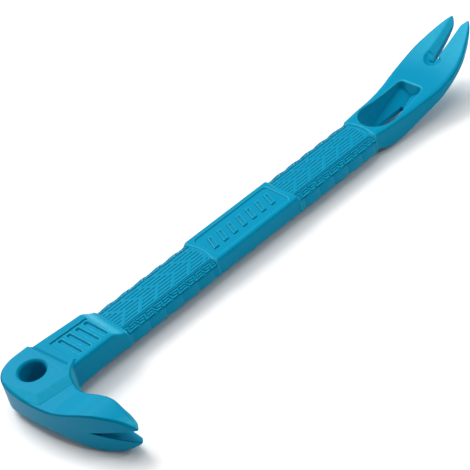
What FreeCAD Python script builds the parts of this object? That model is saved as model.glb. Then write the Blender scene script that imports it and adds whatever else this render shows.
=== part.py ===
import FreeCAD, Part
import math
import os
import re

import Sketcher

# A one-piece forged pry bar (nail puller), drawn zone by zone.
#
# Frame: +X runs along the bar from the heel to the fork, +Z is the axis of the
# hanging hole, and the hook hangs towards -Y. The origin is the centre of the hole,
# half way through the heel. Each zone is drawn with the handle's flat back at zero
# height and then placed. All sizes are in millimetres.

SHEET = "Dimensions"

DIMENSIONS = [
    # heel boss and hanging hole
    ("bore_width", 12, "hanging hole, across"),
    ("bore_chamfer", 0.8, "chamfer at both mouths of the hole"),
    ("heel_thick", 15.8, "heel boss, back to top"),
    ("heel_end", 13, "hole centre to the end of the heel"),
    ("heel_bevel", 1.5, "bevel round the heel boss"),
    ("heel_round", 12, "corner radius between heel end and strike face"),
    ("strike_side", 14.4, "hole centre to the strike face"),
    ("hook_start", 12, "hole centre to the plane where the hook begins"),
    # hook, seen from above
    ("hook_mid", 7.9, "height of the hook's middle plane, half the heel's thickness"),
    ("hook_reach", 61.3, "hole centre to the hook's tips, across the bar"),
    ("hook_back", 98, "radius of the hook's outer curve"),
    ("tip_outside", 6.7, "outer edge of the tips, along the bar"),
    ("tip_inside", 8.5, "inner edge of the tips, along the bar"),
    ("claw_front", 9, "inner edge of the claw, along the bar"),
    ("claw_front_side", 41, "where the claw's inner edge turns in, across the bar"),
    ("claw_front_curve", 90, "radius of the claw's inner edge near the tips"),
    ("throat_front", 6.6, "inner edge where the throat begins, along the bar"),
    ("throat_side", 30, "where the throat begins, across the bar"),
    ("throat_round", 22, "radius of the throat"),
    # hook, seen along the bar
    ("claw_high", 20.8, "height of the hook over its flare"),
    ("boss_front", 14.3, "where the full thickness of the heel ends, across the bar"),
    ("claw_waist", 19.5, "waist position, across the bar"),
    ("claw_waist_half", 5.9, "half the hook's height at its waist"),
    ("claw_swell", 39, "where the flare turns back in, across the bar"),
    ("claw_swell_half", 9.6, "half the hook's height there"),
    ("claw_edge_curve", 23.7, "radius of the flare's edges"),
    ("claw_tip_half", 4.2, "half the height over the two tips"),
    ("claw_notch_root", 46, "root of the notch, across the bar"),
    ("claw_notch_end", 62.3, "end of the notch's cut, across the bar"),
    ("claw_root_gap", 0.6, "half the width of the notch's root"),
    ("claw_mouth_gap", 3.5, "half the notch's mouth"),
    # thumb rest
    ("thumb_start", 10.5, "start of the thumb rest, along the bar"),
    ("thumb_end", 43, "end of the thumb rest's shoulder"),
    ("thumb_back", 15.2, "thumb rest height at the heel"),
    ("thumb_front", 14.1, "thumb rest height at the shoulder"),
    ("thumb_shoulder", 35.5, "where the shoulder starts to fall"),
    ("thumb_shoulder_curve", 16, "radius of the falling shoulder"),
    ("thumb_wide", 25.5, "thumb rest width at the heel"),
    ("thumb_narrow", 24.3, "thumb rest width at the shoulder"),
    ("field_start", 15.8, "start of the sunk rib field"),
    ("field_long", 19.4, "length of the rib field"),
    ("field_wide", 15.6, "width of the rib field"),
    ("field_floor", 13, "height of the rib field's floor"),
    ("rib_pitch", 4.85, "spacing of the thumb ribs"),
    ("rib_thick", 2.9, "thickness of one rib"),
    ("rib_rise", 1, "height of a rib above its floor"),
    # edges shared by the thumb rest and the centre block
    ("edge_bevel", 0.7, "small bevel along the top edges"),
    ("under_wide", 3, "width of the bevel along the lower edges"),
    ("under_drop", 2, "height of the centre block's lower bevel"),
    # grips
    ("grip_start", 43, "start of the lower grip"),
    ("grip_long", 55, "length of one textured grip"),
    ("grip_wide", 24.2, "grip width over the scallops"),
    ("grip_thick", 10.4, "grip thickness"),
    ("grip_bevel", 4.2, "width of the sloping bands beside the grip's flats"),
    ("grip_drop", 1.9, "drop of the sloping bands"),
    ("scallop_pitch", 10, "spacing of the scallops"),
    ("scallop_first", 7.5, "middle of the first scallop, from the grip's start"),
    ("scallop_radius", 16, "radius of one scallop"),
    ("scallop_depth", 0.6, "depth of one scallop"),
    ("groove_first", 1.5, "start of the first groove, from the grip's start"),
    ("groove_long", 8, "length of one grip groove"),
    ("groove_wide", 0.7, "width of one grip groove"),
    ("groove_deep", 0.4, "depth of one grip groove"),
    ("groove_spacing", 2.2, "spacing of the grip grooves"),
    # centre block
    ("block_long", 54, "length of the centre block"),
    ("block_wide", 23.2, "width of the centre block"),
    ("block_thick", 10.9, "thickness of the centre block"),
    ("panel_long", 48.4, "length of the sunk panel"),
    ("panel_wide", 18.2, "width of the sunk panel"),
    ("panel_corner", 1.6, "cut of the panel's corners"),
    ("panel_deep", 0.8, "depth of the sunk panel"),
    ("bar_pitch", 6.2, "spacing of the raised slanted bars in the panel"),
    ("bar_wide", 2.2, "width of one slanted bar"),
    ("bar_long", 8.4, "length of one slanted bar across the panel"),
    ("bar_slant", 2.9, "lean of one slanted bar"),
    ("bar_rise", 0.6, "height of one slanted bar"),
    # neck and fork, seen from the side
    ("neck_start", 207, "start of the slotted neck"),
    ("neck_thick", 11.3, "height of the neck's top"),
    ("rise_start", 228, "where the top starts to curve up"),
    ("hump_start", 209, "where the back drops below the handle's"),
    ("hump_full", 214, "where the hump under the slot is deepest"),
    ("hump_drop", 2.3, "depth of the hump below the handle's back"),
    ("belly_curve", 76, "radius of the belly under the slot"),
    ("belly_stop", 246, "end of the belly, along the bar"),
    ("belly_height", 4.2, "height of the back at the end of the belly"),
    ("tine_curve", 215, "radius of the fork's back"),
    ("tine_end", 282, "where the back starts to run into the tips"),
    ("tine_end_height", 22.1, "height of the back there"),
    ("fork_end", 288, "tips of the fork, along the bar"),
    ("fork_height", 29.8, "height of the fork's tips"),
    ("top_curve", 118, "radius of the fork's top curve"),
    ("tip_thick", 1.6, "thickness of the tine tips"),
    # neck and fork, seen from above
    ("neck_wide", 22, "neck width at the grip"),
    ("neck_side_curve", 460, "radius of the neck's hollow sides"),
    ("fork_start", 250, "plane where the fork claw begins"),
    ("fork_root_wide", 31.4, "fork width there"),
    ("fork_wide", 32.2, "greatest width of the fork"),
    ("fork_side_curve", 48, "radius of the fork's sides"),
    ("tip_outer", 5.4, "centre plane to a tine's outer corner"),
    ("tip_inner", 4.4, "centre plane to a tine's inner corner"),
    ("tine_corner", 285.5, "where a tine's inner side turns out to its tip"),
    ("tine_gap", 2.4, "half the notch's width there"),
    ("notch_root", 266.5, "root of the fork's notch, along the bar"),
    ("notch_gap", 0.5, "half the width of the notch's root"),
    # nail slot
    ("slot_centre", 220.5, "centre of the slot's round end"),
    ("slot_top", 13.3, "height of the plane that the slot's rim is drawn on"),
    ("slot_half", 9.6, "half the slot's width at its rim"),
    ("slot_round", 9.7, "radius of the slot's round end"),
    ("slot_corner", 244, "where the slot's far corners begin"),
    ("slot_corner_half", 7.8, "half the width there"),
    ("slot_stop", 247.5, "far end of the slot's rim"),
    ("slot_stop_half", 5.2, "half the width there"),
    ("eye_drop", 3, "depth of the plane that the nail eye is drawn on"),
    ("eye_half", 5, "half the width of the nail eye below"),
    ("eye_round", 5.1, "radius of the nail eye's round end"),
    ("eye_taper", 229, "where the nail eye has narrowed"),
    ("eye_taper_half", 3.9, "half the width there"),
    ("eye_stop", 242, "narrow end of the nail eye"),
    ("eye_stop_half", 1.5, "half the width there"),
]

SCALLOPS = 5      # along each grip
THUMB_RIBS = 4
SLANTED_BARS = 7  # an odd number, so that one stands in the middle of the panel
FAR = 400         # half the size of the sheet that a trimmed outline is cut from


def make_sheet(doc):
    """The spreadsheet that drives every sketch."""
    sheet = doc.addObject("Spreadsheet::Sheet", SHEET)
    for row, (alias, value, meaning) in enumerate(DIMENSIONS, start=1):
        sheet.set("A%d" % row, alias)
        sheet.set("B%d" % row, str(value))
        sheet.set("C%d" % row, meaning)
        sheet.setAlias("B%d" % row, alias)
    doc.recompute()
    return sheet


def bound(words):
    """Turn 'block_wide / 2' into an expression that reads the sheet."""
    return re.sub(r"[a-z][a-z_]*", lambda name: SHEET + "." + name.group(0), words)


def new_body(doc, name, start="0"):
    """A body whose own zero lies at 'start' along the bar, on the handle's back."""
    body = doc.addObject("PartDesign::Body", name)
    body.Label = name
    body.setExpression("Placement.Base.x", bound(start))
    body.setExpression("Placement.Base.z", bound("-hook_mid"))
    return body


def new_sketch(body, name, plane, height="0"):
    """A sketch on one of the body's origin planes, raised by 'height'."""
    sketch = body.newObject("Sketcher::SketchObject", name)
    planes = [item for item in body.Origin.OriginFeatures if item.Role == plane]
    sketch.AttachmentSupport = (planes[0], "")
    sketch.MapMode = "FlatFace"
    sketch.setExpression("AttachmentOffset.Base.z", bound(height))
    return sketch


def make_arc(start, stop, radius, side):
    """The short arc from start to stop; side 1 bulges to the left of the way, -1 to the right."""
    chord = stop - start
    half = chord.Length / 2
    left = FreeCAD.Vector(-chord.y, chord.x, 0).normalize()
    centre = start + chord * 0.5 - left * (side * math.sqrt(radius * radius - half * half))
    first, last = (stop, start) if side > 0 else (start, stop)
    from_angle = math.atan2(first.y - centre.y, first.x - centre.x)
    to_angle = math.atan2(last.y - centre.y, last.x - centre.x)
    if to_angle < from_angle:
        to_angle += 2 * math.pi
    circle = Part.Circle(centre, FreeCAD.Vector(0, 0, 1), radius)
    return Part.ArcOfCircle(circle, from_angle, to_angle)


def add_outline(sketch, corners):
    """A closed outline. A corner is (across, up), or (across, up, radius, side)
    when the edge that leaves it is an arc; side 1 bulges left of the way round."""
    first_edge = sketch.GeometryCount
    points = []
    for corner in corners:
        across = float(sketch.evalExpression(bound(corner[0])))
        up = float(sketch.evalExpression(bound(corner[1])))
        points.append(FreeCAD.Vector(across, up, 0))
    ends = []
    for index, corner in enumerate(corners):
        start = points[index]
        stop = points[(index + 1) % len(points)]
        if len(corner) == 2:
            sketch.addGeometry(Part.LineSegment(start, stop))
            ends.append((1, 2))
        else:
            radius = float(sketch.evalExpression(bound(corner[2])))
            sketch.addGeometry(make_arc(start, stop, radius, corner[3]))
            ends.append((2, 1) if corner[3] > 0 else (1, 2))
    for index, corner in enumerate(corners):
        edge = first_edge + index
        following = (index + 1) % len(corners)
        sketch.addConstraint(Sketcher.Constraint(
            "Coincident", edge, ends[index][1], first_edge + following, ends[following][0]))
        for kind, value, words in (("DistanceX", points[index].x, corner[0]),
                                   ("DistanceY", points[index].y, corner[1])):
            number = sketch.addConstraint(
                Sketcher.Constraint(kind, -1, 1, edge, ends[index][0], value))
            sketch.setExpression("Constraints[%d]" % number, bound(words))
        if len(corner) == 4:
            radius = float(sketch.evalExpression(bound(corner[2])))
            number = sketch.addConstraint(Sketcher.Constraint("Radius", edge, radius))
            sketch.setExpression("Constraints[%d]" % number, bound(corner[2]))


def add_circle(sketch, across, up, radius):
    """A circle whose centre and radius follow the sheet."""
    values = [float(sketch.evalExpression(bound(words))) for words in (across, up, radius)]
    centre = FreeCAD.Vector(values[0], values[1], 0)
    edge = sketch.addGeometry(Part.Circle(centre, FreeCAD.Vector(0, 0, 1), values[2]))
    number = sketch.addConstraint(Sketcher.Constraint("Radius", edge, values[2]))
    sketch.setExpression("Constraints[%d]" % number, bound(radius))
    for kind, value, words in (("DistanceX", values[0], across), ("DistanceY", values[1], up)):
        number = sketch.addConstraint(Sketcher.Constraint(kind, -1, 1, edge, 3, value))
        sketch.setExpression("Constraints[%d]" % number, bound(words))


def add_box_outline(sketch, left, right, low, high):
    """A rectangle between two across and two up values."""
    add_outline(sketch, [(left, low), (right, low), (right, high), (left, high)])


def pad(body, name, sketch, length, symmetric=False):
    """Thicken a sketch into solid."""
    feature = body.newObject("PartDesign::Pad", name)
    feature.Profile = sketch
    feature.SideType = "Symmetric" if symmetric else "One side"
    feature.setExpression("Length", bound(length))
    return feature


def pocket(body, name, sketch, length=None, upwards=False):
    """Cut a sketch away: right through both ways, or by a length to one side."""
    feature = body.newObject("PartDesign::Pocket", name)
    feature.Profile = sketch
    if length is None:
        feature.Type = "ThroughAll"
        feature.SideType = "Symmetric"
    else:
        feature.SideType = "One side"
        feature.Reversed = upwards
        feature.setExpression("Length", bound(length))
    return feature


def trim(body, name, plane, corners):
    """Cut the body back to an outline seen square to one of its planes."""
    sketch = new_sketch(body, name + "_outline", plane)
    add_box_outline(sketch, str(-FAR), str(FAR), str(-FAR), str(FAR))
    add_outline(sketch, corners)
    return pocket(body, name, sketch)


def pattern(body, name, features, sketch, count, pitch):
    """Repeat features along the sketch's horizontal axis."""
    repeat = body.newObject("PartDesign::LinearPattern", name)
    repeat.Originals = features
    repeat.Direction = (sketch, ["H_Axis"])
    repeat.Occurrences = count
    repeat.setExpression("Length", bound("%s * %d" % (pitch, count - 1)))
    body.Tip = repeat
    return repeat


def make_claw_hook(doc):
    """The right-angled claw: a curved plate, flared in height and split by a V notch."""
    body = new_body(doc, "claw_hook")
    plan = new_sketch(body, "hook_plan", "XY_Plane", "hook_mid")
    add_outline(plan, [
        ("-heel_end", "-hook_start", "hook_back", -1),
        ("tip_outside", "-hook_reach"),
        ("tip_inside", "-hook_reach", "claw_front_curve", -1),
        ("claw_front", "-claw_front_side"),
        ("throat_front", "-throat_side", "throat_round", 1),
        ("thumb_start", "-hook_start"),
    ])
    pad(body, "hook_plate", plan, "claw_high", symmetric=True)
    flare = [
        ("-hook_start", "hook_mid"),
        ("-boss_front", "hook_mid"),
        ("-claw_waist", "claw_waist_half"),
        ("-claw_swell", "claw_swell_half"),
        ("-hook_reach", "claw_tip_half"),
    ]
    upper = [(side, "hook_mid + " + half) for side, half in flare]
    lower = [(side, "hook_mid - " + half) for side, half in reversed(flare)]
    upper[3] += ("claw_edge_curve", -1)
    lower[0] += ("claw_edge_curve", -1)
    trim(body, "hook_flare", "YZ_Plane", upper + lower)
    notch = new_sketch(body, "hook_notch_outline", "YZ_Plane")
    add_outline(notch, [
        ("-claw_notch_root", "hook_mid + claw_root_gap"),
        ("-claw_notch_root", "hook_mid - claw_root_gap"),
        ("-claw_notch_end", "hook_mid - claw_mouth_gap"),
        ("-claw_notch_end", "hook_mid + claw_mouth_gap"),
    ])
    pocket(body, "hook_notch", notch)
    return body


def make_heel_boss(doc):
    """The thick end with the hanging hole and the flat strike face."""
    body = new_body(doc, "heel_boss")
    plan = new_sketch(body, "heel_plan", "XY_Plane")
    add_outline(plan, [
        ("-heel_end", "-hook_start"),
        ("thumb_start", "-hook_start"),
        ("thumb_start", "strike_side"),
        ("heel_round - heel_end", "strike_side", "heel_round", -1),
        ("-heel_end", "strike_side - heel_round"),
    ])
    pad(body, "heel_block", plan, "heel_thick")
    trim(body, "heel_sides", "YZ_Plane", [
        ("-hook_start", "0"),
        ("strike_side - heel_bevel", "0"),
        ("strike_side", "heel_bevel"),
        ("strike_side", "heel_thick - heel_bevel"),
        ("strike_side - heel_bevel", "heel_thick"),
        ("-hook_start", "heel_thick"),
    ])
    trim(body, "heel_end_bevel", "XZ_Plane", [
        ("-heel_end", "heel_bevel"),
        ("heel_bevel - heel_end", "0"),
        ("thumb_start", "0"),
        ("thumb_start", "heel_thick"),
        ("heel_bevel - heel_end", "heel_thick"),
        ("-heel_end", "heel_thick - heel_bevel"),
    ])
    hole = new_sketch(body, "hanging_hole_outline", "XY_Plane")
    add_circle(hole, "0", "0", "bore_width / 2")
    drilled = pocket(body, "hanging_hole", hole)
    doc.recompute()
    rims = ["Edge%d" % (number + 1) for number, edge in enumerate(drilled.Shape.Edges)
            if isinstance(edge.Curve, Part.Circle) and edge.isClosed()]
    mouths = body.newObject("PartDesign::Chamfer", "hole_mouths")
    mouths.Base = (drilled, rims)
    mouths.setExpression("Size", bound("bore_chamfer"))
    return body


def make_thumb_rest(doc):
    """The raised block beside the heel, with ribs in a sunk field on top."""
    body = new_body(doc, "thumb_rest")
    side = new_sketch(body, "thumb_side", "XZ_Plane")
    add_outline(side, [
        ("thumb_start", "0"),
        ("thumb_end", "0"),
        ("thumb_end", "grip_thick", "thumb_shoulder_curve", -1),
        ("thumb_shoulder", "thumb_front"),
        ("thumb_start", "thumb_back"),
    ])
    pad(body, "thumb_block", side, "thumb_wide", symmetric=True)
    trim(body, "thumb_taper", "XY_Plane", [
        ("thumb_start", "-thumb_wide / 2"),
        ("thumb_shoulder", "-thumb_narrow / 2"),
        ("thumb_end", "-grip_wide / 2"),
        ("thumb_end", "grip_wide / 2"),
        ("thumb_shoulder", "thumb_narrow / 2"),
        ("thumb_start", "thumb_wide / 2"),
    ])
    trim(body, "thumb_edges", "YZ_Plane", [
        ("under_wide - thumb_wide / 2", "0"),
        ("thumb_wide / 2 - under_wide", "0"),
        ("thumb_wide / 2", "under_wide"),
        ("thumb_wide / 2", "thumb_back - edge_bevel"),
        ("thumb_wide / 2 - edge_bevel", "thumb_back"),
        ("edge_bevel - thumb_wide / 2", "thumb_back"),
        ("-thumb_wide / 2", "thumb_back - edge_bevel"),
        ("-thumb_wide / 2", "under_wide"),
    ])
    field = new_sketch(body, "rib_field_outline", "XY_Plane", "field_floor")
    add_box_outline(field, "field_start", "field_start + field_long", "-field_wide / 2", "field_wide / 2")
    pocket(body, "rib_field", field, "thumb_back", upwards=True)
    rib = new_sketch(body, "thumb_rib_outline", "XY_Plane", "field_floor")
    add_box_outline(rib, "field_start", "field_start + rib_thick", "-field_wide / 2", "field_wide / 2")
    first_rib = pad(body, "thumb_rib", rib, "rib_rise")
    pattern(body, "thumb_ribs", [first_rib], rib, THUMB_RIBS, "rib_pitch")
    return body


def make_grip(doc, name, start):
    """One textured grip: flats and sloping bands, scalloped along both edges."""
    body = new_body(doc, name, start)
    section = new_sketch(body, name + "_section", "YZ_Plane")
    add_outline(section, [
        ("grip_bevel - grip_wide / 2", "0"),
        ("grip_wide / 2 - grip_bevel", "0"),
        ("grip_wide / 2", "grip_drop"),
        ("grip_wide / 2", "grip_thick - grip_drop"),
        ("grip_wide / 2 - grip_bevel", "grip_thick"),
        ("grip_bevel - grip_wide / 2", "grip_thick"),
        ("-grip_wide / 2", "grip_thick - grip_drop"),
        ("-grip_wide / 2", "grip_drop"),
    ])
    pad(body, name + "_bar", section, "grip_long")
    scallop = new_sketch(body, name + "_scallop_outline", "XY_Plane")
    reach = "grip_wide / 2 + scallop_radius - scallop_depth"
    add_circle(scallop, "scallop_first", reach, "scallop_radius")
    add_circle(scallop, "scallop_first", "-(%s)" % reach, "scallop_radius")
    first_scallop = pocket(body, name + "_scallop", scallop)
    pattern(body, name + "_scallops", [first_scallop], scallop, SCALLOPS, "scallop_pitch")
    for side, height in (("top", "grip_thick"), ("back", "0")):
        grooves = new_sketch(body, "%s_%s_groove_outlines" % (name, side), "XY_Plane", height)
        for line in (-1, 0, 1):
            middle = "groove_spacing * %d" % line
            left = "groove_first + groove_wide * %d" % (line + 1)
            add_box_outline(grooves, left, left + " + groove_long",
                            middle + " - groove_wide / 2", middle + " + groove_wide / 2")
        first = pocket(body, "%s_%s_groove" % (name, side), grooves, "groove_deep",
                       upwards=(side == "back"))
        pattern(body, "%s_%s_grooves" % (name, side), [first], grooves, SCALLOPS, "scallop_pitch")
    return body


def make_centre_block(doc):
    """The plain middle block with a sunk panel and a row of slanted raised bars."""
    body = new_body(doc, "centre_block", "grip_start + grip_long")
    section = new_sketch(body, "block_section", "YZ_Plane")
    add_outline(section, [
        ("under_wide - block_wide / 2", "0"),
        ("block_wide / 2 - under_wide", "0"),
        ("block_wide / 2", "under_drop"),
        ("block_wide / 2", "block_thick - edge_bevel"),
        ("block_wide / 2 - edge_bevel", "block_thick"),
        ("edge_bevel - block_wide / 2", "block_thick"),
        ("-block_wide / 2", "block_thick - edge_bevel"),
        ("-block_wide / 2", "under_drop"),
    ])
    pad(body, "block_bar", section, "block_long")
    panel = new_sketch(body, "panel_outline", "XY_Plane", "block_thick")
    left = "block_long / 2 - panel_long / 2"
    right = "block_long / 2 + panel_long / 2"
    add_outline(panel, [
        (left + " + panel_corner", "-panel_wide / 2"),
        (right + " - panel_corner", "-panel_wide / 2"),
        (right, "panel_corner - panel_wide / 2"),
        (right, "panel_wide / 2 - panel_corner"),
        (right + " - panel_corner", "panel_wide / 2"),
        (left + " + panel_corner", "panel_wide / 2"),
        (left, "panel_wide / 2 - panel_corner"),
        (left, "panel_corner - panel_wide / 2"),
    ])
    pocket(body, "panel", panel, "panel_deep")
    bar = new_sketch(body, "slanted_bar_outline", "XY_Plane", "block_thick - panel_deep")
    first_left = "block_long / 2 - bar_pitch * %d - bar_wide / 2" % (SLANTED_BARS // 2)
    add_outline(bar, [
        (first_left + " - bar_slant / 2", "-bar_long / 2"),
        (first_left + " + bar_wide - bar_slant / 2", "-bar_long / 2"),
        (first_left + " + bar_wide + bar_slant / 2", "bar_long / 2"),
        (first_left + " + bar_slant / 2", "bar_long / 2"),
    ])
    first_bar = pad(body, "slanted_bar", bar, "bar_rise")
    pattern(body, "slanted_bars", [first_bar], bar, SLANTED_BARS, "bar_pitch")
    return body


def add_fork_blank(body):
    """The side view shared by the neck and the fork, thickened across the bar."""
    side = new_sketch(body, body.Name + "_side", "XZ_Plane")
    add_outline(side, [
        ("neck_start", "0"),
        ("hump_start", "0"),
        ("hump_full", "-hump_drop", "belly_curve", -1),
        ("belly_stop", "belly_height", "tine_curve", -1),
        ("tine_end", "tine_end_height"),
        ("fork_end", "fork_height - tip_thick"),
        ("fork_end", "fork_height", "top_curve", 1),
        ("rise_start", "neck_thick"),
        ("neck_start", "neck_thick"),
    ])
    pad(body, body.Name + "_blank", side, "fork_wide", symmetric=True)


def make_slot_neck(doc):
    """The widening neck, humped below, with the nail slot: a wide rim over a tapering eye."""
    body = new_body(doc, "slot_neck")
    add_fork_blank(body)
    trim(body, "neck_plan", "XY_Plane", [
        ("neck_start", "-neck_wide / 2", "neck_side_curve", 1),
        ("fork_start", "-fork_root_wide / 2"),
        ("fork_start", "fork_root_wide / 2", "neck_side_curve", 1),
        ("neck_start", "neck_wide / 2"),
    ])
    rim = new_sketch(body, "slot_rim", "XY_Plane", "slot_top")
    add_outline(rim, [
        ("slot_centre", "slot_half", "slot_round", -1),
        ("slot_centre", "-slot_half"),
        ("slot_corner", "-slot_corner_half"),
        ("slot_stop", "-slot_stop_half"),
        ("slot_stop", "slot_stop_half"),
        ("slot_corner", "slot_corner_half"),
    ])
    eye = new_sketch(body, "nail_eye", "XY_Plane", "-eye_drop")
    add_outline(eye, [
        ("slot_centre", "eye_half", "eye_round", -1),
        ("slot_centre", "-eye_half"),
        ("eye_taper", "-eye_taper_half"),
        ("eye_stop", "-eye_stop_half"),
        ("eye_stop", "eye_stop_half"),
        ("eye_taper", "eye_taper_half"),
    ])
    slot = body.newObject("PartDesign::SubtractiveLoft", "nail_slot")
    slot.Profile = rim
    slot.Sections = [eye]
    slot.Ruled = True
    return body


def make_fork_claw(doc):
    """The flat claw that curves up and splits into two tines."""
    body = new_body(doc, "fork_claw")
    add_fork_blank(body)
    trim(body, "fork_plan", "XY_Plane", [
        ("fork_start", "-fork_root_wide / 2", "fork_side_curve", -1),
        ("fork_end", "-tip_outer"),
        ("fork_end", "-tip_inner"),
        ("tine_corner", "-tine_gap"),
        ("notch_root", "-notch_gap"),
        ("notch_root", "notch_gap"),
        ("tine_corner", "tine_gap"),
        ("fork_end", "tip_inner"),
        ("fork_end", "tip_outer", "fork_side_curve", -1),
        ("fork_start", "fork_root_wide / 2"),
    ])
    return body


def check(doc, bodies):
    """Stop if any feature failed or any sub-part isn't one closed solid."""
    for item in doc.Objects:
        if "Invalid" in item.State or "Error" in item.State:
            raise RuntimeError("%s did not compute: %s" % (item.Name, item.State))
    for body in bodies:
        shape = body.Shape
        if shape.isNull() or not shape.isValid() or len(shape.Solids) != 1:
            raise RuntimeError("%s is not one valid solid" % body.Label)


def main():
    doc = FreeCAD.newDocument("pry_bar")
    make_sheet(doc)
    bodies = [
        make_claw_hook(doc),
        make_heel_boss(doc),
        make_thumb_rest(doc),
        make_grip(doc, "lower_grip", "grip_start"),
        make_centre_block(doc),
        make_grip(doc, "upper_grip", "grip_start + grip_long + block_long"),
        make_slot_neck(doc),
        make_fork_claw(doc),
    ]
    doc.recompute()
    check(doc, bodies)
    os.makedirs("parts", exist_ok=True)
    for body in bodies:
        body.Shape.exportStep("parts/%s.step" % body.Label)
        box = body.Shape.BoundBox
        print("%-13s volume %8.1f  x %.1f..%.1f  y %.1f..%.1f  z %.1f..%.1f" % (
            body.Label, body.Shape.Volume, box.XMin, box.XMax, box.YMin, box.YMax, box.ZMin, box.ZMax))


main()
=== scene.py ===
import math

import bmesh
import bpy
import numpy as np
from mathutils import Matrix, Vector


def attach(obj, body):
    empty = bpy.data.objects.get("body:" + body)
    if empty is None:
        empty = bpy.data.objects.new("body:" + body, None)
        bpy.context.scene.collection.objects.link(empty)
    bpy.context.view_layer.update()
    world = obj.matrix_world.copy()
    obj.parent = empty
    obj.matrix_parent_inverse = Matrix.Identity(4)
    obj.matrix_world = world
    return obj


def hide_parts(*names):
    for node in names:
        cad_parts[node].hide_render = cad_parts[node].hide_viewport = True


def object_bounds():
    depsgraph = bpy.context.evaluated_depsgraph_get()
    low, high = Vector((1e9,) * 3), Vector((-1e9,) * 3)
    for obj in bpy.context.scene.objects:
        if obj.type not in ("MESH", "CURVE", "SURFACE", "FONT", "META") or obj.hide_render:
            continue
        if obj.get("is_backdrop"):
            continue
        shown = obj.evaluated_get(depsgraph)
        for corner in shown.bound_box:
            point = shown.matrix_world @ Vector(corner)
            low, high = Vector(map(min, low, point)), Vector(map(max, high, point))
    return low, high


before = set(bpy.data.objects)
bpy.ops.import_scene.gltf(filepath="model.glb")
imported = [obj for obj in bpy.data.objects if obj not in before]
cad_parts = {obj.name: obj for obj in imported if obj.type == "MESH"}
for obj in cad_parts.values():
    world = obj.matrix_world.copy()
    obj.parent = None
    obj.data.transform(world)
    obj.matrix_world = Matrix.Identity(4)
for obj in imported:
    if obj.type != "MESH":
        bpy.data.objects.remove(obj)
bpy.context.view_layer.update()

MM = 0.001

# The bar is one forging, so its surface is one field over space: negative inside
# the steel, positive outside, in millimetres. Each zone of the bar is meshed from
# that same field, and neighbouring zones share the vertices along their border.
CELL = 0.3


# ---------------------------------------------------------------- field helpers

def soft_max(a, b, radius):
    """The larger of two fields, rounded where they meet."""
    overlap = np.maximum(radius - np.abs(a - b), 0)
    return np.maximum(a, b) + overlap * overlap / (4 * radius)


def soft_min(a, b, radius):
    """The smaller of two fields, rounded where they meet."""
    return -soft_max(-a, -b, radius)


def ramp(value, start, length):
    """Smooth 0 to 1 as value passes from start to start + length."""
    t = np.clip((value - start) / length, 0, 1)
    return t * t * (3 - 2 * t)


def between(value, low, high, blur):
    """1 between low and high, fading over blur at both ends."""
    return ramp(value, low - blur / 2, blur) * (1 - ramp(value, high - blur / 2, blur))


def curve(value, stations):
    """A smooth curve through (position, height) stations that never overshoots them."""
    where, height = np.array(stations, dtype=float).T
    secant = np.diff(height) / np.diff(where)
    before, after = secant[:-1], secant[1:]
    slope = np.concatenate([secant[:1], np.zeros(len(before)), secant[-1:]])
    same_way = np.flatnonzero(before * after > 0)
    slope[same_way + 1] = 2 / (1 / before[same_way] + 1 / after[same_way])
    index = np.clip(np.searchsorted(where, value) - 1, 0, len(where) - 2)
    span = where[index + 1] - where[index]
    t = np.clip((value - where[index]) / span, 0, 1)
    rise = height[index + 1] - height[index]
    return (height[index] + rise * t * t * (3 - 2 * t)
            + span * t * (1 - t) * ((1 - t) * slope[index] - t * slope[index + 1]))


def wave(value, pitch, start):
    """Distance past the last repeat, from 0 to pitch."""
    return np.mod(value - start, pitch)


def from_line(value, pitch, line):
    """Distance to the nearest of the lines that repeat at pitch, one of which is at line."""
    return np.abs(wave(value, pitch, line - pitch / 2) - pitch / 2)


def groove(distance, width):
    """Depth share of a round-bottomed groove whose centre line is at distance 0."""
    return np.exp(-np.square(distance / (width * 0.5)))


def bar_distance(u, v, start, stop):
    """Distance in a plane from (u, v) to the segment from start to stop."""
    du, dv = stop[0] - start[0], stop[1] - start[1]
    t = np.clip(((u - start[0]) * du + (v - start[1]) * dv) / (du * du + dv * dv), 0, 1)
    return np.hypot(u - start[0] - t * du, v - start[1] - t * dv)


# ---------------------------------------------------------------- main sizes, mm

# Places along the bar are measured from the hole's centre, heights from the flat back.
HEEL_START = -12.0
HANDLE_START = 8.0
HEEL_END = 10.5
GRIP_START = 43.0
BLOCK_START = 98.0
BLOCK_END = 152.0
BLOCK_MID = (BLOCK_START + BLOCK_END) / 2
NECK_START = 207.0
FORK_START = 250.0
FORK_END = 288.2

HOOK_MID = 7.9                    # height of the hook's and the heel's middle plane
GRIP_TOP = 10.3
BLOCK_TOP = 10.95
BLOCK_BOW = 1.3                   # how far the middle of the block's ends bulges
BLOCK_BOW_HALF = 8.0
BORE_RADIUS = 6.0
SCALLOP = 10.0                    # pitch of the finger scallops in a grip's sides
SCALLOP_CUSP = 5.2
SCALLOP_DEPTH = 0.55
GRIP_BACK_RISE = 0.25
SQUARE_CUT = 0.707                # turns the sum of two distances into one at 45 degrees

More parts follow.
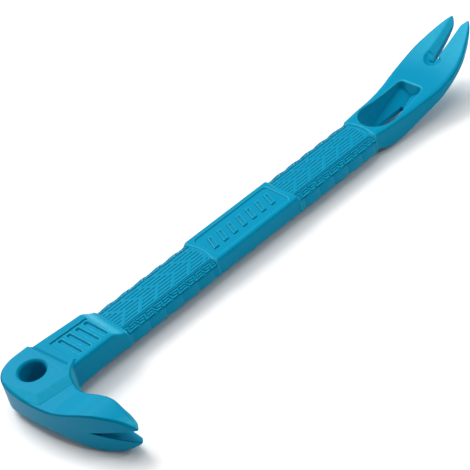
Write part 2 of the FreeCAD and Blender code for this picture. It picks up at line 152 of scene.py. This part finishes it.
# Half the bar's width, the height of its top and the height of its back, along the bar.
HALF_WIDTH = [(8, 12.8), (12, 12.75), (36, 12.1), (41, 12.1), (97.5, 12.1), (98.7, 11.6),
              (151.3, 11.6), (152.5, 12.3), (206, 12.3), (207.5, 11.0), (212, 11.4), (216, 11.9),
              (228, 12.8), (240, 14.1), (247, 15.3), (252, 15.9), (258, 16.1), (264, 15.8),
              (270, 14.6), (276, 12.4), (282, 9.7), (286, 7.4), (288.6, 5.3)]
NECK_TOP = [(208, 11.3), (226, 11.3), (234, 11.7), (240, 12.5), (246, 13.4), (252, 14.6),
            (258, 16.2), (264, 18.3), (270, 20.8), (276, 23.7), (282, 26.7), (288, 29.8)]
BACK = [(207, 0), (209, 0), (213, -1.7), (218, -2.4), (222, -2.3), (228, -1.3), (234, 0.3),
        (240, 2.1), (246, 4.2), (252, 6.4), (258, 9.1), (264, 12.1), (270, 14.9), (276, 18.1),
        (282, 22.1), (288, 27.8)]

# Edge bevels as (width, depth), and what each stretch of the bar adds to them.
TOP_BEVEL = (0.8, 0.8)
TOP_BEVEL_AT_GRIP = (3.4, 1.1)
TOP_BEVEL_AT_NECK = (0.7, 0.0)
UNDER_BEVEL = (3.0, 2.0)
UNDER_BEVEL_AT_GRIP = (1.2, -0.1)
UNDER_BEVEL_AT_THUMB = (0.0, 0.8)
UNDER_BEVEL_AT_TIPS = (-1.4, -0.9)
TIPS_START = 262.0
FORK_DISH_START = 246.0
FORK_DISH = 0.7                   # depth of the shallow dish down the fork's middle
FORK_RUN = 20.0                   # how long the fork's dish and bevels take to change


# ---------------------------------------------------------------- surface detail

GROOVE_PITCH = 1.9                # the fine grooves on a grip's flat
GROOVE_WIDTH = 0.85
GROOVE_DEPTH = 0.42
GROOVED_HALF = 6.6
GROOVE_GROUP = (1.4, 9.0)         # where a group of grooves starts and stops in a scallop
GROUP_SHIFT = 1.0
BORDER_GROOVE_AT = 7.3            # the single groove between the flat and the band
BORDER_GROOVE_WIDTH = 0.7
BORDER_GROOVE_DEPTH = 0.34
BAND = (7.9, 11.6)                # the band of interlocking bars, across the bar
BAND_DEPTH = 0.38
BAND_BAR_HALF = 0.28
BAND_BARS = [((0.9, 8.7), (5.2, 8.7)), ((5.2, 8.7), (4.2, 10.9)), ((4.2, 10.9), (8.6, 10.9)),
             ((6.6, 8.7), (9.4, 8.7)), ((9.4, 8.7), (10.2, 9.7)), ((0.2, 9.7), (0.9, 10.9)),
             ((0.9, 10.9), (2.8, 10.9)), ((6.4, 9.8), (8.8, 9.8)), ((1.6, 9.8), (3.6, 9.8))]


def grip_relief(x, across):
    """How far the top of a grip is cut in: staggered grooves on the flat,
    interlocking raised bars on the sloping band beside it."""
    in_group = between(wave(x + across, SCALLOP, GROUP_SHIFT), *GROOVE_GROUP, 0.8)
    on_flat = between(across, -1, GROOVED_HALF, 0.5)
    grooves = GROOVE_DEPTH * groove(from_line(across, GROOVE_PITCH, 0), GROOVE_WIDTH)
    border = BORDER_GROOVE_DEPTH * groove(across - BORDER_GROOVE_AT, BORDER_GROOVE_WIDTH)
    along = wave(x, SCALLOP, 0.2)
    nearest = np.full_like(x, SCALLOP)
    for start, stop in BAND_BARS:
        nearest = np.minimum(nearest, bar_distance(along, across, start, stop))
    beside_bars = BAND_DEPTH * between(across, *BAND, 0.4) * ramp(nearest, BAND_BAR_HALF, 0.35)
    return np.maximum(grooves * in_group * on_flat, border) + beside_bars


PANEL_HALF = (24.2, 9.1)          # half the sunk panel's length and width
PANEL_CORNER = 1.6
PANEL_DEPTH = 0.8
BAR_PITCH = 6.2                   # the slanted raised bars in the panel
BAR_LEAN = 0.34
BAR_ROW_HALF = (21.2, 4.2)
BAR_ROW_MID = 0.2
BAR_HALF = 1.2
BAR_HEIGHT = 0.62
BAR_GROOVE_HALF = 0.3             # each bar is grooved down its middle
BAR_GROOVE_INSET = 1.5
BAR_GROOVE_DEPTH = 0.45


def panel_relief(x, y):
    """The centre block's sunk panel, with a row of slanted raised bars."""
    past_end = np.abs(x - BLOCK_MID) - PANEL_HALF[0]
    past_side = np.abs(y) - PANEL_HALF[1]
    outline = np.maximum(np.maximum(past_end, past_side),
                         (past_end + past_side + PANEL_CORNER) * SQUARE_CUT)
    depth = PANEL_DEPTH * (1 - ramp(outline, -0.9, 0.9))
    lean = x - BAR_LEAN * y
    bar = from_line(lean, BAR_PITCH, BLOCK_MID)
    row = np.maximum(np.abs(y - BAR_ROW_MID) - BAR_ROW_HALF[1],
                     np.abs(lean - BLOCK_MID) - BAR_ROW_HALF[0])
    raised = (1 - ramp(bar, BAR_HALF, 0.45)) * (1 - ramp(row, -0.2, 0.45))
    grooved = (1 - ramp(bar, BAR_GROOVE_HALF, 0.45)) * (1 - ramp(row + BAR_GROOVE_INSET, -0.2, 0.45))
    return depth - BAR_HEIGHT * raised + BAR_GROOVE_DEPTH * grooved


THUMB_END = 35.0
THUMB_RUN = 8.3                   # how long the thumb rest takes to fall to the grip
THUMB_TOP = 14.245                # height at its end, from where it rises towards the heel
THUMB_RISE = 0.045
THUMB_FIELD_MID = (25.4, -0.5)
THUMB_FIELD_HALF = (10.6, 8.2)
THUMB_FIELD_DEPTH = 0.7
THUMB_FIELD_SLOPE = (-6.0, 13.0)  # where across the bar it starts to sink, and over what width
TROUGH_PITCH = 4.85
TROUGH_FIRST = 19.7
TROUGH_LEAN = 0.04
TROUGH_ROW = (27.0, 10.0)         # the row's middle and half its length
TROUGH_MID = -1.2
TROUGH_HALF_LENGTH = 6.2
TROUGH_DEPTH = 1.1


def thumb_relief(x, y):
    """The thumb rest's field, sunk towards its far side and crossed by four troughs."""
    outline = np.maximum(np.abs(x - THUMB_FIELD_MID[0]) - THUMB_FIELD_HALF[0],
                         np.abs(y - THUMB_FIELD_MID[1]) - THUMB_FIELD_HALF[1])
    sink_start, sink_width = THUMB_FIELD_SLOPE
    sink = THUMB_FIELD_DEPTH * np.clip((y - sink_start) / sink_width, 0, 1)
    along = x + TROUGH_LEAN * y
    row_mid, row_half = TROUGH_ROW
    in_row = np.abs(along - row_mid) <= row_half
    beside = np.where(in_row, from_line(along, TROUGH_PITCH, TROUGH_FIRST), TROUGH_PITCH)
    past_end = np.abs(y - TROUGH_MID) - TROUGH_HALF_LENGTH
    trough = 1 - ramp(soft_max(beside, past_end, 0.6), 0.75, 0.75)
    return sink * (1 - ramp(outline, -0.5, 0.5)) + TROUGH_DEPTH * trough


# ---------------------------------------------------------------- the field

def bevel_size(*shares):
    """A bevel's width and depth, added up from (share, (width, depth)) pairs."""
    width = sum(share * size[0] for share, size in shares)
    depth = sum(share * size[1] for share, size in shares)
    return width, depth


def handle_field(x, y, z):
    """The long bar from the thumb rest to the fork's tips."""
    across = np.abs(y)
    grip = between(x, GRIP_START, BLOCK_START, 1.4) + between(x, BLOCK_END, NECK_START, 1.4)
    bow = BLOCK_BOW * np.clip(1 - np.square(y / BLOCK_BOW_HALF), 0, 1)
    toward_block = np.where(x < BLOCK_MID, x - bow, x + bow)
    thumb = 1 - ramp(x, THUMB_END, THUMB_RUN)
    neck = ramp(x, NECK_START, 3.0)
    tips = ramp(x, TIPS_START, FORK_RUN)

    half = curve(x, HALF_WIDTH)
    scallop = np.abs(wave(x, SCALLOP, SCALLOP_CUSP) / SCALLOP * 2 - 1)
    half = half - grip * SCALLOP_DEPTH * np.square(scallop)
    dish = FORK_DISH * ramp(x, FORK_DISH_START, FORK_RUN) * (1 - np.square(np.clip(y / half, -1, 1)))
    relief = grip * grip_relief(x, across) + dish
    relief = relief + thumb * thumb_relief(x, y)
    relief = relief + between(x, BLOCK_START + 1, BLOCK_END - 1, 1) * panel_relief(x, y)

    top = GRIP_TOP + (THUMB_TOP - THUMB_RISE * (x - THUMB_END) - GRIP_TOP) * thumb
    top = top + (BLOCK_TOP - GRIP_TOP) * between(toward_block, BLOCK_START, BLOCK_END, 1.0)
    top = top + (curve(x, NECK_TOP) - GRIP_TOP) * ramp(x - bow, NECK_START - 0.3, 1.0)
    below = curve(x, BACK) + grip * GRIP_BACK_RISE - z
    side = across - half

    wide, drop = bevel_size((1, TOP_BEVEL), (grip, TOP_BEVEL_AT_GRIP),
                            (neck * (1 - tips), TOP_BEVEL_AT_NECK))
    bevel = ((side + wide) * drop + (z - top + grip * relief) * wide) / np.hypot(wide, drop)
    wide, drop = bevel_size((1, UNDER_BEVEL), (grip, UNDER_BEVEL_AT_GRIP),
                            (thumb, UNDER_BEVEL_AT_THUMB), (tips, UNDER_BEVEL_AT_TIPS))
    under_bevel = ((side + wide) * drop + below * wide) / np.hypot(wide, drop)

    solid = soft_max(side, soft_max(z - top + relief, bevel, 0.7), 0.8)
    solid = soft_max(solid, soft_max(below, under_bevel, 0.8), 0.8)
    solid = soft_max(solid, HANDLE_START - x, 0.5)
    return soft_max(solid, x - FORK_END, 0.6)


SLOT_HEAD = 220.6                 # centre of the rim's round end
SLOT_END = 247.2
RIM_HALF = 10.1
RIM_TAPER_START = 222.0
RIM_TAPER = 2.5 / 23
RIM_TAPER_MOST = 3.0
RIM_WALL_SLOPE = 0.3
RIM_ROUND = 0.9
BOWL_FLOOR = 7.637                # height of the bowl's floor on the centre line at SLOT_END
BOWL_RISE = 0.43                  # how it climbs towards the fork
BOWL_CROSS_RISE = 0.5             # and towards the sides
EYE_HEAD = 221.4
EYE_END = 238.5
EYE_HALF = [(222.0, 5.0), (228.0, 3.7), (234.0, 2.0), (237.5, 0.9)]


def nail_slot(x, y, z):
    """The tapering nail slot: positive inside its opening."""
    depth = curve(x, NECK_TOP) - z
    rim_half = RIM_HALF - np.clip(RIM_TAPER * (x - RIM_TAPER_START), 0, RIM_TAPER_MOST)
    rim = soft_max(np.hypot(np.minimum(x - SLOT_HEAD, 0), y) - rim_half, x - SLOT_END, 3.0)
    rim = rim + RIM_WALL_SLOPE * depth
    bowl_floor = BOWL_FLOOR + BOWL_RISE * (x - SLOT_END) + BOWL_CROSS_RISE * np.abs(y)
    bowl = soft_max(rim, (bowl_floor - z) * 0.8, 0.5)
    eye_half = np.interp(x, *np.array(EYE_HALF).T)
    eye = soft_max(np.hypot(np.minimum(x - EYE_HEAD, 0), y) - eye_half, x - EYE_END, 0.8)
    mouth = RIM_ROUND * ramp(depth, 0.3, -1.6)
    return -soft_min(bowl, soft_max(eye, rim, 0.4), 0.4) + mouth


NOTCH_ROOT = 266.9
NOTCH_ROOT_HALF = 1.324
NOTCH_TAPER = 0.06
NOTCH_ROUND = 1.6
TIP_CORNER = (285.5, 2.4)         # where the cut across a tine's tip meets the notch's side
TIP_CUT = (2.2, 2.5)
FACET_START = 264.2               # the ground facet on the tine away from the hook
FACET_EDGE = 7.032
FACET_TAPER = 0.04
FACET_SLOPE = 0.55
FACET_NEAR_EDGE = -0.3
SCOOP_CENTRE = (266.2, 0.8, 5.6)  # along, across and above the fork's top
SCOOP_RADIUS = 8.2
SCOOP_END = 268.6
SCOOP_END_LEAN = 0.7


def fork_cuts(x, y, z, solid):
    """The fork's notch and tips, with the ground facet and the scoop beside the notch."""
    above = z - curve(x, NECK_TOP)
    half_gap = NOTCH_ROOT_HALF + (x - NOTCH_ROOT) * NOTCH_TAPER
    notch = soft_min(half_gap - np.abs(y), x - NOTCH_ROOT, NOTCH_ROUND)
    tip = (x - TIP_CORNER[0]) * TIP_CUT[0] - (np.abs(y) - TIP_CORNER[1]) * TIP_CUT[1]
    solid = soft_max(solid, notch, 0.3)
    solid = soft_max(solid, tip / math.hypot(*TIP_CUT), 0.8)
    beside_edge = FACET_EDGE - FACET_TAPER * (x - FACET_START) - y
    facet = (above + FACET_SLOPE * beside_edge) / math.hypot(1, FACET_SLOPE)
    facet = soft_min(facet, x - FACET_START, 0.5)
    facet = soft_min(facet, y - FACET_NEAR_EDGE, 0.3)
    scoop = SCOOP_RADIUS - np.sqrt(np.square(x - SCOOP_CENTRE[0]) + np.square(y - SCOOP_CENTRE[1])
                                   + np.square(above - SCOOP_CENTRE[2]))
    scoop = soft_min(scoop, SCOOP_END - x + SCOOP_END_LEAN * np.minimum(y, 0), 1.0)
    return soft_max(solid, soft_max(facet, scoop, 0.3), 0.35)


# The hook's inner face and half its height, from its tips to the heel.
HOOK_INNER = [(-63, 8.0), (-61.3, 8.5), (-58, 9.2), (-54, 9.4), (-48, 9.4), (-42, 9.1), (-39, 8.5),
              (-36, 8.0), (-33, 7.3), (-30, 6.6), (-27, 6.1), (-24, 6.2), (-20.8, 6.9),
              (-16.8, 8.4), (-13.4, 11.2), (-11, 14.5), (-9, 17.5)]
HOOK_HALF = [(-62.5, 3.0), (-61.3, 4.2), (-60, 5.4), (-57, 7.6), (-54, 9.1), (-51, 9.8),
             (-48, 10.2), (-45, 10.4), (-42, 10.1), (-39, 9.6), (-36, 8.8), (-33, 7.9), (-30, 7.2),
             (-27, 6.5), (-24, 6.0), (-21, 5.9), (-18, 6.1), (-14, 6.4), (-10, 6.5)]
HOOK_TIP = -61.25
HOOK_BACK_CENTRE = (84.567, -1.796)
HOOK_BACK_RADIUS = 98.0
HOOK_FACET_START = 41.0           # where the bevels inside the hook start, towards its tips
HOOK_FACET_GROWTH = 1.9
HOOK_NOTCH_ROOT = -42.8
HOOK_NOTCH_TAPER = 0.18
HOOK_NOTCH_FLARE = 0.42           # how much it widens towards the inner face
THROAT = -10.0
HEEL_FRONT = 10.4                 # the heel's face towards the handle
HEEL_FRONT_LEAN = 0.13
HEEL_CORNER = 13.5
STRIKE_FACE = 14.4
BOSS_CORNER = (-7.2, -13.7)       # the heel's thick boss ends in two edges that meet here
BOSS_EDGES = [(-0.12, -1.0), (-0.966, -0.26)]
BOSS_DROP = 2.0
BOSS_RUN = 4.2
BOSS_START = -21.5
HOLE_BEVEL = 1.0


def hook_notch(y, height, outer):
    """The hook's V notch, wider on its inner face: positive inside it."""
    flare = HOOK_NOTCH_FLARE * outer * ramp(-y, 45.0, 8.0)
    return HOOK_NOTCH_TAPER * (HOOK_NOTCH_ROOT - y) - flare - height


def heel_field(x, y, z):
    """The heel boss with its hanging hole, and the flared, notched hook."""
    height = np.abs(z - HOOK_MID)
    outer = np.hypot(x - HOOK_BACK_CENTRE[0], y - HOOK_BACK_CENTRE[1]) - HOOK_BACK_RADIUS
    face = np.where(y > THROAT, HEEL_FRONT - HEEL_FRONT_LEAN * y, curve(y, HOOK_INNER))
    inner = x - face
    plan = soft_max(soft_max(outer, y - STRIKE_FACE, HEEL_CORNER), inner, 0.9)

    beside, ahead = x - BOSS_CORNER[0], y - BOSS_CORNER[1]
    edges = [beside * along + ahead * across for along, across in BOSS_EDGES]
    drop = BOSS_DROP * np.clip(soft_max(*edges, 0.8) / BOSS_RUN, 0, 1)
    boss = ramp(y, BOSS_START, 2.5)
    half = curve(np.minimum(y, THROAT - 0.5), HOOK_HALF) * (1 - boss) + (HOOK_MID - drop) * boss
    solid = soft_max(plan, height - half, 1.3)

    facet = (height - half + inner + HOOK_FACET_GROWTH * ramp(-y, 43, 9)) * SQUARE_CUT
    facet = facet - 4.0 * (1 - ramp(-y, HOOK_FACET_START, 3))
    solid = soft_max(solid, facet, 0.4)
    solid = soft_max(solid, HOOK_TIP - y, 0.5)
    solid = soft_max(solid, hook_notch(y, height, outer), 0.5)
    hole = BORE_RADIUS - np.hypot(x, y)
    mouth = (hole + height - HOOK_MID + HOLE_BEVEL) * SQUARE_CUT
    return soft_max(solid, soft_max(hole, mouth, 0.5), 0.3)


HEEL_REACH = 30.0                 # the heel and the hook lie well short of this
THROAT_CORNER = (9.0, -13.6)      # the handle's own surface stops here, inside the heel


def bar_field(x, y, height):
    """The whole forging; height is measured from the hole's centre, z from the flat back."""
    z = height + HOOK_MID
    solid = handle_field(x, y, z)
    if x.max() > NECK_START - 2:
        solid = soft_max(solid, nail_slot(x, y, z), 0.7)
    if x.max() > FORK_START:
        solid = fork_cuts(x, y, z, solid)
    if x.min() < HEEL_REACH:
        hook_side = np.minimum(THROAT_CORNER[0] - x, THROAT_CORNER[1] - y)
        handle = soft_max(solid, hook_side, 0.5)
        solid = soft_min(handle, heel_field(x, y, z), 1.0)
    return solid


# ---------------------------------------------------------------- meshing

# The box in which each zone's share of the surface lies: along, across and up. Zones
# meet at the borders along the bar; heights are measured from the hole's centre.
HANDLE_SIDES = (-13.2, 13.2)
NECK_SIDES = (-17.1, 17.1)
ZONES = {
    "claw_hook": ((-14.5, HEEL_END), (-62.5, HEEL_START), (-11.9, 12.1)),
    "heel_boss": ((-14.5, HEEL_END), (HEEL_START, 16.0), (-9.1, 9.3)),
    "thumb_rest": ((HEEL_END, GRIP_START), (-16.5, 15.0), (-9.1, 8.9)),
    "lower_grip": ((GRIP_START, BLOCK_START), HANDLE_SIDES, (-9.1, 4.4)),
    "centre_block": ((BLOCK_START, BLOCK_END), HANDLE_SIDES, (-9.1, 4.4)),
    "upper_grip": ((BLOCK_END, NECK_START), HANDLE_SIDES, (-11.5, 5.0)),
    "slot_neck": ((NECK_START, FORK_START), NECK_SIDES, (-11.5, 8.0)),
    "fork_claw": ((FORK_START, 289.8), NECK_SIDES, (-4.0, 23.6)),
}


def lattice(low, high):
    """Grid numbers from just below low to just above high, on one lattice for all zones."""
    return np.arange(math.floor(low / CELL) - 2, math.ceil(high / CELL) + 3)


def in_zone(name, u, v):
    """Which points, given in lattice steps, belong to the zone."""
    (x_low, x_high), (y_low, y_high), _ = ZONES[name]
    inside = (u * CELL >= x_low) & (u * CELL < x_high)
    return inside & (v * CELL >= y_low) & (v * CELL < y_high)


def surface_of(name):
    """Vertices and quads of one zone's share of the surface, in millimetres.

    Every lattice edge that crosses the surface gives a point to the four cells around
    it and a quad between them. A cell's vertex is the mean of its points.
    """
    axes = [lattice(low, high) for low, high in ZONES[name]]
    grid = np.meshgrid(*[axis * CELL for axis in axes], indexing="ij")
    value = bar_field(*grid)
    inside = value < 0
    cells = tuple(np.array(value.shape) - 1)
    total = np.zeros(cells + (3,))
    count = np.zeros(cells)
    quads = []
    for axis in range(3):
        first = tuple(slice(0, -1) if other == axis else slice(None) for other in range(3))
        second = tuple(slice(1, None) if other == axis else slice(None) for other in range(3))
        crossing = inside[first] != inside[second]
        where = np.argwhere(crossing)
        low, high = value[first][crossing], value[second][crossing]
        point = where.astype(float)
        point[:, axis] += low / (low - high)
        side_a, side_b = [other for other in range(3) if other != axis]
        corners = []
        for step_a, step_b in ((-1, -1), (0, -1), (0, 0), (-1, 0)):
            cell = where.copy()
            cell[:, side_a] += step_a
            cell[:, side_b] += step_b
            usable = np.all((cell >= 0) & (cell < cells), axis=1)
            np.add.at(total, tuple(cell[usable].T), point[usable])
            np.add.at(count, tuple(cell[usable].T), 1)
            corners.append(np.where(usable, np.ravel_multi_index(
                tuple(np.clip(cell, 0, np.array(cells) - 1).T), cells), -1))
        # The middle of an edge settles which zone the quad belongs to.
        middle = where.astype(float)
        middle[:, axis] += 0.5
        mine = in_zone(name, middle[:, 0] + axes[0][0], middle[:, 1] + axes[1][0])
        ring = np.stack(corners, axis=1)[mine]
        outward = inside[first][crossing][mine]
        if axis == 1:
            outward = ~outward
        ring[~outward] = ring[~outward][:, ::-1]
        quads.append(ring[np.all(ring >= 0, axis=1)])
    # Only the cells that a quad uses become vertices.
    quads = np.concatenate(quads)
    used, quads = np.unique(quads, return_inverse=True)
    quads = quads.reshape(-1, 4)
    spot = np.stack(np.unravel_index(used, cells), axis=1)
    points = total[tuple(spot.T)] / count[tuple(spot.T)][:, None]
    points = (points + np.array([axis[0] for axis in axes])) * CELL
    return points, quads


def slope_at(points, step=0.05):
    """The field's value and gradient at scattered points."""
    value = bar_field(points[:, 0], points[:, 1], points[:, 2])
    gradient = np.empty_like(points)
    for axis in range(3):
        shift = np.zeros(3)
        shift[axis] = step
        ahead, behind = points + shift, points - shift
        gradient[:, axis] = (bar_field(*ahead.T) - bar_field(*behind.T)) / (2 * step)
    return value, gradient


def settle(points):
    """Move the points onto the surface and return them with their normals."""
    home = points.copy()
    for _ in range(3):
        value, gradient = slope_at(points)
        size = np.maximum(np.sum(gradient * gradient, axis=1), 0.25)
        points = points - gradient * (value / size)[:, None]
        points = home + np.clip(points - home, -0.5 * CELL, 0.5 * CELL)
    gradient = slope_at(points)[1]
    length = np.linalg.norm(gradient, axis=1, keepdims=True)
    return points, gradient / np.maximum(length, 1e-6)


def close_borders(mesh):
    """Cap each open border of a zone, where it meets a neighbour, with a fan of triangles."""
    edit = bmesh.new()
    edit.from_mesh(mesh)
    edit.verts.ensure_lookup_table()
    following = {}
    for edge in edit.edges:
        if edge.is_boundary:
            loop = edge.link_loops[0]
            following[loop.link_loop_next.vert] = loop.vert
    while following:
        start = next(iter(following))
        ring = [start]
        step = following.pop(start)
        while step is not start:
            ring.append(step)
            step = following.pop(step)
        centre = edit.verts.new(sum((vert.co for vert in ring), Vector()) / len(ring))
        for first, second in zip(ring, ring[1:] + ring[:1]):
            edit.faces.new((first, second, centre))
    edit.to_mesh(mesh)
    edit.free()


SPOT_REACH = 0.8                  # how far off the surface its high and low spots are felt


def build_zone(name, material):
    """One zone of the forging as a mesh piece that stands for its CAD node. Its high_spot
    attribute says how far each vertex stands proud of the surface around it, or below it."""
    points, quads = surface_of(name)
    points, normals = settle(points)
    mesh = bpy.data.meshes.new(name + "_skin")
    mesh.from_pydata((points * MM).tolist(), [], quads.tolist())
    close_borders(mesh)
    # The high_spot attribute drives the paint's painted highlight on high edges and its painted
    # shade in recesses.
    painted_light = mesh.attributes.new("high_spot", "FLOAT", "POINT")
    lift = np.zeros(len(mesh.vertices))
    outside = points + normals * SPOT_REACH
    lift[:len(points)] = np.clip(bar_field(*outside.T) / SPOT_REACH - 1, -1, 1)
    painted_light.data.foreach_set("value", lift)
    mesh.polygons.foreach_set("use_smooth", np.ones(len(mesh.polygons), dtype=bool))
    skin_normals = np.zeros((len(mesh.vertices), 3))
    skin_normals[:len(normals)] = normals
    mesh.normals_split_custom_set_from_vertices(skin_normals.tolist())
    piece = bpy.data.objects.new(name + "_skin", mesh)
    bpy.context.scene.collection.objects.link(piece)
    mesh.materials.append(material)
    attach(piece, "root")
    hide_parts(name)
    return piece


# ---------------------------------------------------------------- looks

def new_nodes(name):
    """An empty node material and a helper that adds nodes to it."""
    material = bpy.data.materials.new(name)
    material.use_nodes = True
    tree = material.node_tree
    tree.nodes.clear()

    def add(kind, **inputs):
        node = tree.nodes.new(kind)
        for key, value in inputs.items():
            socket = node.inputs[key.replace("_", " ")]
            if isinstance(value, bpy.types.NodeSocket):
                tree.links.new(value, socket)
            else:
                socket.default_value = value
        return node

    return material, tree, add


DEEP_TEAL = (0.0, 0.200, 0.345, 1)
TEAL = (0.0, 0.225, 0.375, 1)
EDGE_HIGHLIGHT_TEAL = (0.03, 0.380, 0.540, 1)
RECESS_SHADE_TEAL = (0.0, 0.085, 0.165, 1)
SHEEN_TINT = (0.10, 0.75, 1.0, 1)
PALE = (0.84, 0.84, 0.84, 1)
MIX_FIRST, MIX_SECOND, MIX_RESULT = 6, 7, 2    # a Mix node's colour sockets


def paint_material():
    """Teal enamel over a forging: faint orange peel, a painted highlight on high edges and painted
    shade in recesses.
    """
    material, tree, add = new_nodes("teal_enamel")
    place = add("ShaderNodeTexCoord").outputs["Object"]
    spots = tree.nodes.new("ShaderNodeAttribute")
    spots.attribute_name = "high_spot"

    def remap(value, low, high, to_low=0.0, to_high=1.0):
        node = add("ShaderNodeMapRange", Value=value, From_Min=low, From_Max=high,
                   To_Min=to_low, To_Max=to_high)
        return node.outputs["Result"]

    def product(first, second):
        node = tree.nodes.new("ShaderNodeMath")
        node.operation = "MULTIPLY"
        tree.links.new(first, node.inputs[0])
        tree.links.new(second, node.inputs[1])
        return node.outputs["Value"]

    def blend(share, first, second):
        node = tree.nodes.new("ShaderNodeMix")
        node.data_type = "RGBA"
        tree.links.new(share, node.inputs["Factor"])
        for socket, colour in ((MIX_FIRST, first), (MIX_SECOND, second)):
            if isinstance(colour, bpy.types.NodeSocket):
                tree.links.new(colour, node.inputs[socket])
            else:
                node.inputs[socket].default_value = colour
        return node.outputs[MIX_RESULT]

    def noise(scale, detail, roughness):
        node = add("ShaderNodeTexNoise", Vector=place, Scale=scale, Detail=detail,
                   Roughness=roughness)
        return node.outputs["Fac"]

    scuff_and_highlight_noise = noise(420.0, 6.0, 0.65)
    cloud = noise(26.0, 3.0, 0.5)
    orange_peel = noise(900.0, 2.0, 0.4)
    forging_scale = noise(160.0, 4.0, 0.55)
    high_spot = spots.outputs["Fac"]
    # Painted highlight: high edges are painted a lighter teal, broken up by noise, to stand in for
    # light glancing off them.
    painted_light = product(remap(high_spot, 0.02, 0.22), remap(scuff_and_highlight_noise, 0.2, 0.7, 0.45, 1.0))
    # Painted shade: grooves and recesses are painted a darker teal where shade falls in them.
    recess_shade = remap(high_spot, -0.05, -0.40, 0.0, 0.9)
    colour = blend(cloud, DEEP_TEAL, TEAL)
    colour = blend(painted_light, colour, EDGE_HIGHLIGHT_TEAL)
    colour = blend(recess_shade, colour, RECESS_SHADE_TEAL)
    relief = tree.nodes.new("ShaderNodeMath")
    relief.operation = "MULTIPLY_ADD"
    relief.inputs[1].default_value = 0.35
    tree.links.new(orange_peel, relief.inputs[0])
    tree.links.new(forging_scale, relief.inputs[2])
    bump = add("ShaderNodeBump", Height=relief.outputs["Value"], Strength=0.22, Distance=0.00022)
    shader = add("ShaderNodeBsdfPrincipled", Base_Color=colour, Normal=bump.outputs["Normal"],
                 Roughness=remap(scuff_and_highlight_noise, 0, 1, 0.30, 0.44), Specular_Tint=SHEEN_TINT,
                 Specular_IOR_Level=0.10)
    add("ShaderNodeOutputMaterial", Surface=shader.outputs["BSDF"])
    return material


def floor_material():
    """Plain pale floor."""
    material, _, add = new_nodes("pale_floor")
    shader = add("ShaderNodeBsdfPrincipled", Base_Color=PALE, Roughness=0.9)
    add("ShaderNodeOutputMaterial", Surface=shader.outputs["BSDF"])
    return material


FLOOR_GAP = 0.0005                # keeps the bar's lowest point just clear of the floor


def make_floor(level):
    """A wide pale floor under the bar."""
    mesh = bpy.data.meshes.new("floor")
    edit = bmesh.new()
    bmesh.ops.create_grid(edit, x_segments=8, y_segments=8, size=4.0)
    edit.to_mesh(mesh)
    edit.free()
    floor = bpy.data.objects.new("floor", mesh)
    floor.location = (0.15, 0, level)
    bpy.context.scene.collection.objects.link(floor)
    mesh.materials.append(floor_material())
    floor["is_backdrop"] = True


def area_light(name, place, target, size, power):
    """A soft square lamp that faces the target."""
    lamp = bpy.data.lights.new(name, "AREA")
    lamp.shape = "SQUARE"
    lamp.size = size
    lamp.energy = power
    holder = bpy.data.objects.new(name, lamp)
    holder.location = place
    holder.rotation_euler = (Vector(target) - Vector(place)).to_track_quat("-Z", "Y").to_euler()
    bpy.context.scene.collection.objects.link(holder)


def make_lights():
    """Soft studio light from above and behind, with a weak lamp for the near edges. Plain
    display colours keep the floor white and the paint as bright as its own tones."""
    middle = (0.14, 0.0, 0.0)
    area_light("key", (0.05, 0.85, 1.00), middle, 0.8, 18.0)
    area_light("top", (0.45, 0.10, 1.5), middle, 1.3, 12.0)
    area_light("edge", (0.60, -0.62, 0.62), middle, 0.2, 1.6)
    world = bpy.data.worlds.new("soft_white")
    world.use_nodes = True
    background = world.node_tree.nodes["Background"]
    background.inputs["Color"].default_value = (1, 1, 1, 1)
    background.inputs["Strength"].default_value = 0.32
    bpy.context.scene.world = world
    bpy.context.scene.view_settings.view_transform = "Standard"


CAMERA_TARGET = (0.1175, -0.0026, 0.0001)
CAMERA_DISTANCE = 0.6715
CAMERA_TURN = -35.1
CAMERA_LIFT = 38.55
CAMERA_ROLL = -14.1


def make_camera():
    """A long lens that looks down from the heel's side, rolled a little."""
    camera = bpy.data.cameras.new("camera")
    camera.sensor_width = 36.0
    camera.lens = 111.0
    camera.clip_start = 0.01
    turn, lift = math.radians(CAMERA_TURN), math.radians(CAMERA_LIFT)
    back = Vector((math.sin(turn) * math.cos(lift), -math.cos(turn) * math.cos(lift),
                   math.sin(lift)))
    right = (-back).cross(Vector((0, 0, 1))).normalized()
    up = right.cross(-back).normalized()
    level = Matrix((right, up, back)).transposed()
    holder = bpy.data.objects.new("camera", camera)
    aim = level @ Matrix.Rotation(math.radians(CAMERA_ROLL), 3, "Z")
    place = Vector(CAMERA_TARGET) + back * CAMERA_DISTANCE
    holder.matrix_world = Matrix.Translation(place) @ aim.to_4x4()
    bpy.context.scene.collection.objects.link(holder)
    bpy.context.scene.camera = holder


paint = paint_material()
for zone in ZONES:
    build_zone(zone, paint)
make_floor(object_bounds()[0][2] - FLOOR_GAP)
make_lights()
make_camera()
